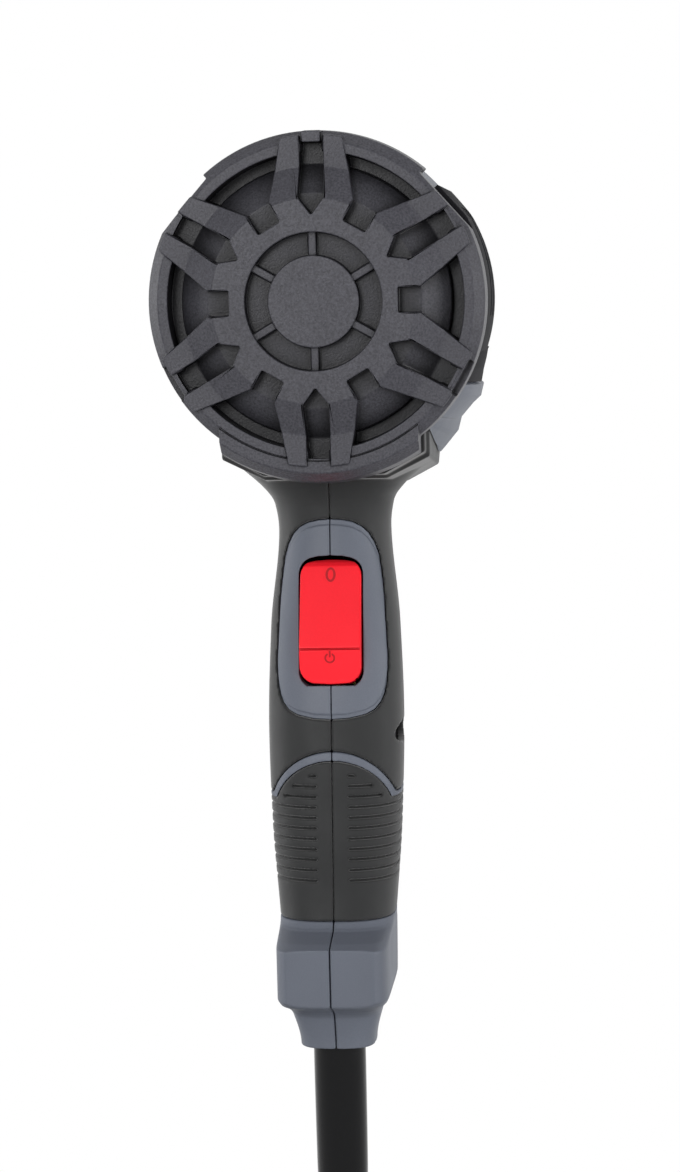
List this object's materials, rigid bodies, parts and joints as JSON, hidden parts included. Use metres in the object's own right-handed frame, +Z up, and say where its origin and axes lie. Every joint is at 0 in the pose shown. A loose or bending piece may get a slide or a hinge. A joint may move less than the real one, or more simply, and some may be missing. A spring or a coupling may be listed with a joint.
{
  "type": "hot air gun",
  "caption": "Corded hot air gun with a round barrel, spoked rear cap, steel nozzle, soft-clad handle, rocker switch, foot and coiled lead.",
  "frame": {"origin": "middle of the hand grip, where the palm closes round the handle", "axes": "+Y along the barrel, out of the nozzle; +Z up from the grip to the barrel; +X to the right seen from behind"},
  "size_m": [0.1689, 0.2671, 0.3507],
  "materials": {
    "shell_plastic": "satin moulded",
    "soft_rubber": "satin soft-touch",
    "black_plastic": "matte",
    "cap_plastic": "fine matte grain",
    "red_plastic": "semi-gloss",
    "nozzle_steel": "polished",
    "plain_steel": "plain",
    "brass": "plain",
    "mica": "layered",
    "heating_wire": "oxidised",
    "white_nylon": "satin",
    "circuit_board": "satin",
    "lead_rubber": "satin"
  },
  "bodies": {
    "casing": {"left_housing": "shell_plastic", "right_housing": "shell_plastic", "left_overmould": "soft_rubber", "right_overmould": "soft_rubber", "left_grip_pad": "soft_rubber", "right_grip_pad": "soft_rubber", "left_grille": "black_plastic", "right_grille": "black_plastic", "rear_cap": "cap_plastic", "front_guard": "black_plastic", "nozzle_tube": "nozzle_steel", "mica_tube": "mica", "mica_core": "mica", "heating_coil": "heating_wire", "heater_base": "white_nylon", "thermal_fuse": "plain_steel", "blower_duct": "white_nylon", "motor_can": "plain_steel", "motor_end_bell": "white_nylon", "rear_bearing": "brass", "front_bearing": "brass", "rectifier_board": "circuit_board", "rocker_pin": "plain_steel", "switch_body": "black_plastic", "switch_terminal_1": "brass", "switch_terminal_2": "brass", "switch_terminal_3": "brass", "housing_screw_palm": "plain_steel", "housing_screw_heel": "plain_steel", "housing_screw_neck": "plain_steel", "housing_screw_front_upper": "plain_steel", "housing_screw_front_lower": "plain_steel", "cord_clamp": "white_nylon", "clamp_screw_1": "plain_steel", "clamp_screw_2": "plain_steel", "cord_sleeve": "lead_rubber", "inner_lead": "lead_rubber", "mains_cord": "lead_rubber", "cord_coil": "lead_rubber", "cord_tie": "black_plastic", "plug_body": "lead_rubber", "plug_blade_left": "brass", "plug_blade_right": "brass"},
    "rotor": {"motor_shaft": "plain_steel", "armature": "plain_steel", "commutator": "brass", "fan": "white_nylon"},
    "rocker": {"rocker": "red_plastic"}
  },
  "joints": [
    {"name": "fan_spin", "type": "hinge", "parent": "casing", "child": "rotor", "pos_m": [0, 0, 0.114], "axis": [0, 1, 0], "continuous": true},
    {"name": "switch_rock", "type": "hinge", "parent": "casing", "child": "rocker", "pos_m": [0, -0.014, 0.028], "axis": [1, 0, 0], "range_deg": [0, 12]}
  ]
}
